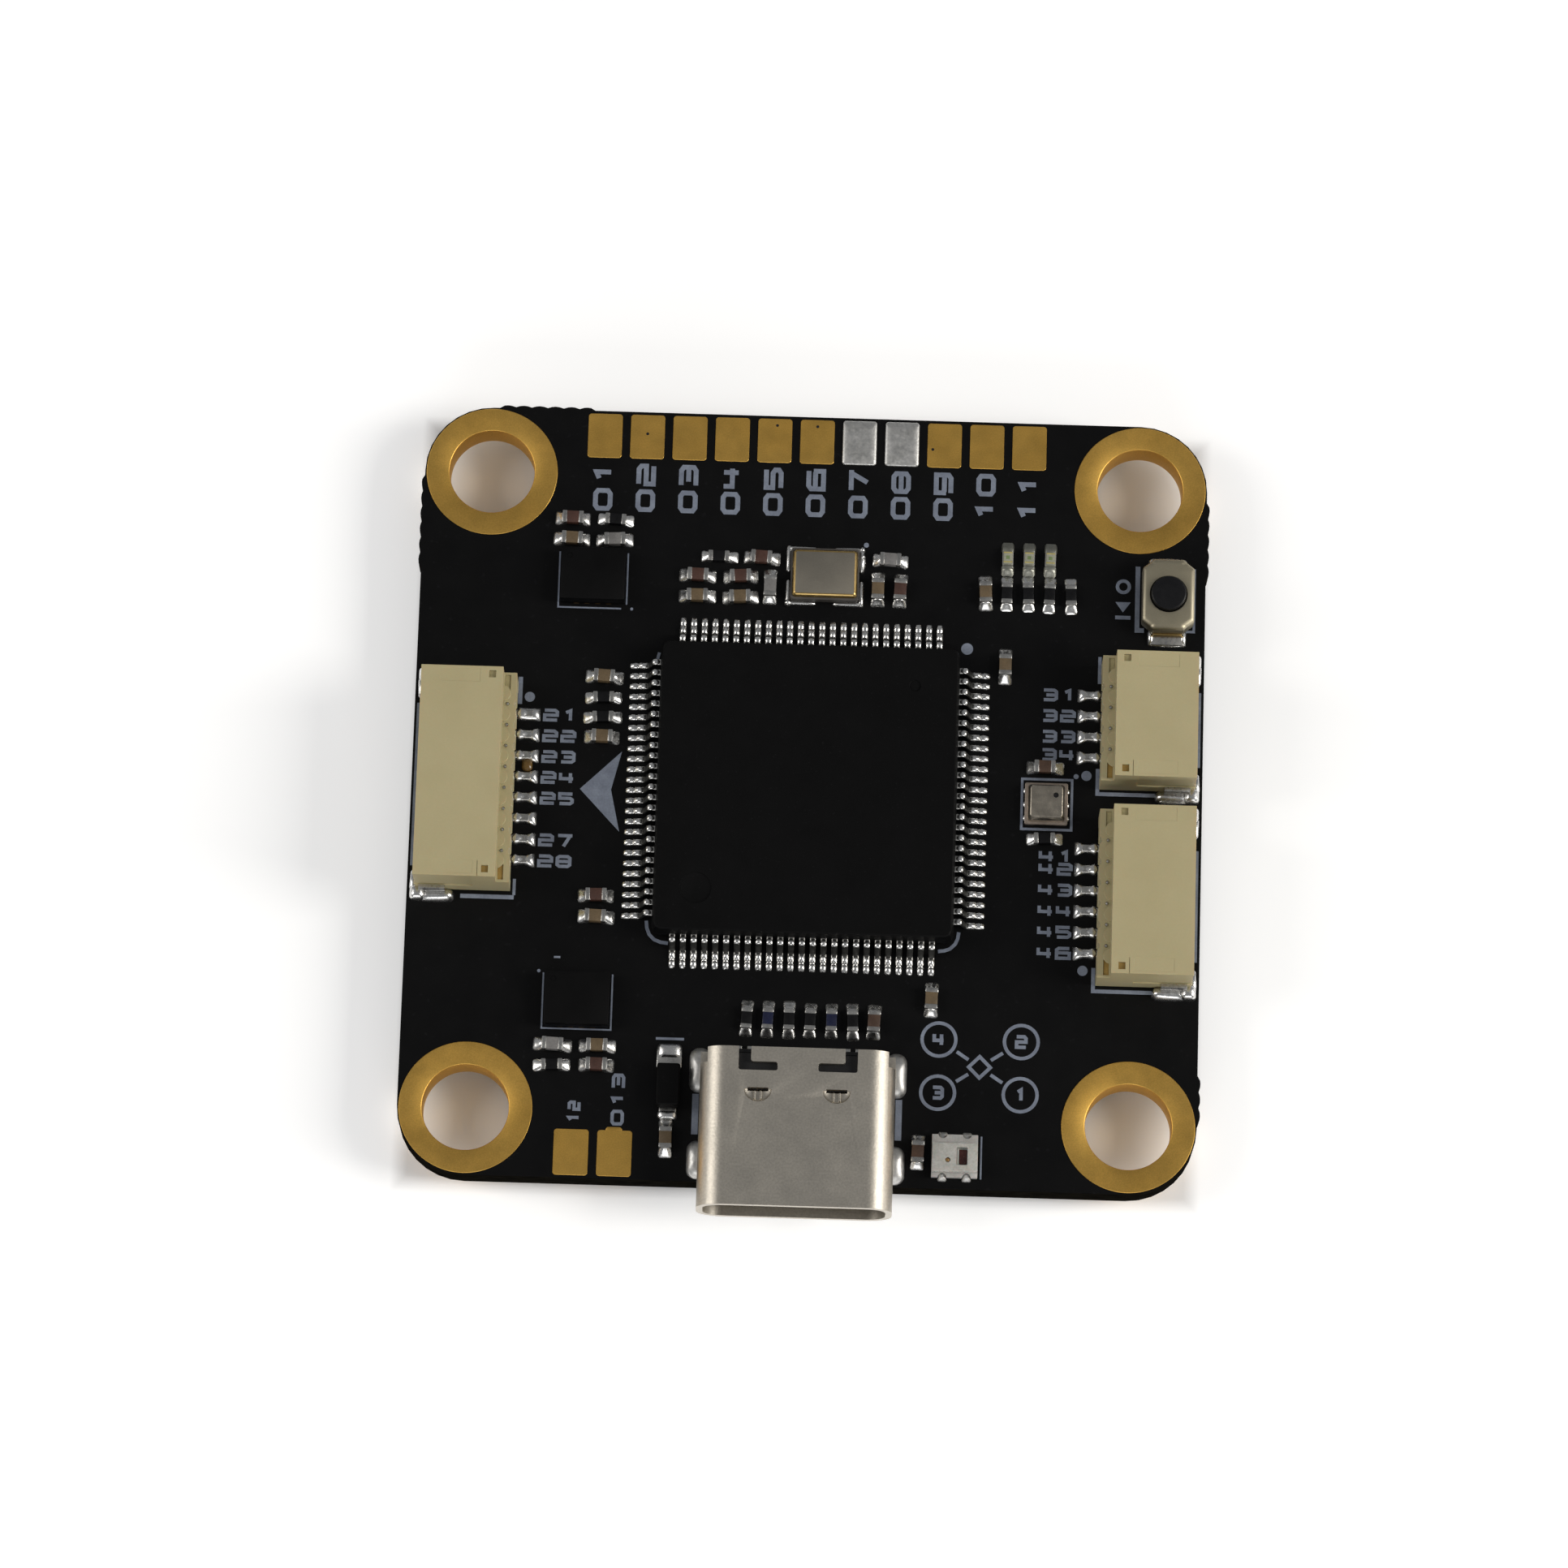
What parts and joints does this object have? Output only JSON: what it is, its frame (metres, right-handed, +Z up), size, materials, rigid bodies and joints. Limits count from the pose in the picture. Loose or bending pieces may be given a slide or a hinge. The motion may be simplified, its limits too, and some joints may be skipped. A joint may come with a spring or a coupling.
{
  "type": "flight controller board",
  "caption": "Square flight controller circuit board with plated corner mounting holes, a large microcontroller, USB socket, side-entry wire sockets, sensors and a boot button.",
  "frame": {"origin": "centre of the 30.5 mm mounting hole pattern, on the plane that the loose board rests on: the lower face of the lowest underside chip, 1.2 mm below the laminate", "axes": "+Z up out of the component side, -Y out of the USB socket, +X towards the 4-way and 6-way sockets"},
  "size_m": [0.037, 0.0385, 0.006],
  "materials": {
    "solder_mask": "satin",
    "gold_plating": "satin",
    "black_epoxy": "matte",
    "tinned_metal": "satin",
    "nickel_steel": "satin",
    "lid_metal": "satin",
    "cream_nylon": "matte",
    "black_nylon": "satin",
    "white_resin": "satin",
    "clear_resin": "gloss",
    "brown_ceramic": "matte",
    "capacitor_ceramic": "satin",
    "ferrite": "matte",
    "solder": "gloss",
    "resistor_film": "gloss",
    "silkscreen_ink": "matte"
  },
  "bodies": {
    "root": {"barometer_base": "black_epoxy", "barometer_lid": "nickel_steel", "buck_regulator_1": "black_epoxy", "buck_regulator_2": "black_epoxy", "bulk_capacitor_1": "capacitor_ceramic", "bulk_capacitor_2": "capacitor_ceramic", "button_base": "black_nylon", "button_cover": "nickel_steel", "button_dome": "nickel_steel", "button_terminal_front": "tinned_metal", "button_terminal_rear": "tinned_metal", "circuit_board": "solder_mask", "crystal_base": "brown_ceramic", "crystal_lid": "lid_metal", "diode_anode": "tinned_metal", "diode_body": "black_epoxy", "diode_cathode": "tinned_metal", "display_chip": "black_epoxy", "display_chip_leads_front": "tinned_metal", "display_chip_leads_rear": "tinned_metal", "gyro_1": "black_epoxy", "gyro_2": "black_epoxy", "linear_regulator": "black_epoxy", "mcu_body": "black_epoxy", "mcu_leads_front": "tinned_metal", "mcu_leads_left": "tinned_metal", "mcu_leads_rear": "tinned_metal", "mcu_leads_right": "tinned_metal", "memory_chip": "black_epoxy", "plated_hole_1": "gold_plating", "plated_hole_2": "gold_plating", "plated_hole_3": "gold_plating", "plated_hole_4": "gold_plating", "power_inductor_1": "ferrite", "power_inductor_2": "ferrite", "rgb_lamp_body": "white_resin", "rgb_lamp_lens": "clear_resin", "socket_4_way_contacts": "tinned_metal", "socket_4_way_housing": "cream_nylon", "socket_4_way_tab_a": "tinned_metal", "socket_4_way_tab_b": "tinned_metal", "socket_6_way_contacts": "tinned_metal", "socket_6_way_housing": "cream_nylon", "socket_6_way_tab_a": "tinned_metal", "socket_6_way_tab_b": "tinned_metal", "socket_8_way_contacts": "tinned_metal", "socket_8_way_housing": "cream_nylon", "socket_8_way_tab_a": "tinned_metal", "socket_8_way_tab_b": "tinned_metal", "status_lamp_1": "white_resin", "status_lamp_2": "white_resin", "status_lamp_3": "white_resin", "usb_contacts_lower": "gold_plating", "usb_contacts_upper": "gold_plating", "usb_insulator": "black_nylon", "usb_shell": "nickel_steel", "usb_solder_tails": "tinned_metal"},
    "button": {"button_plunger": "black_nylon"}
  },
  "joints": [
    {"name": "button_press", "type": "slide", "parent": "root", "child": "button", "axis": [0, 0, -1], "range_m": [0, 0.00025], "stiffness_N_per_m": 6400, "deforming": ["button_dome"]}
  ]
}
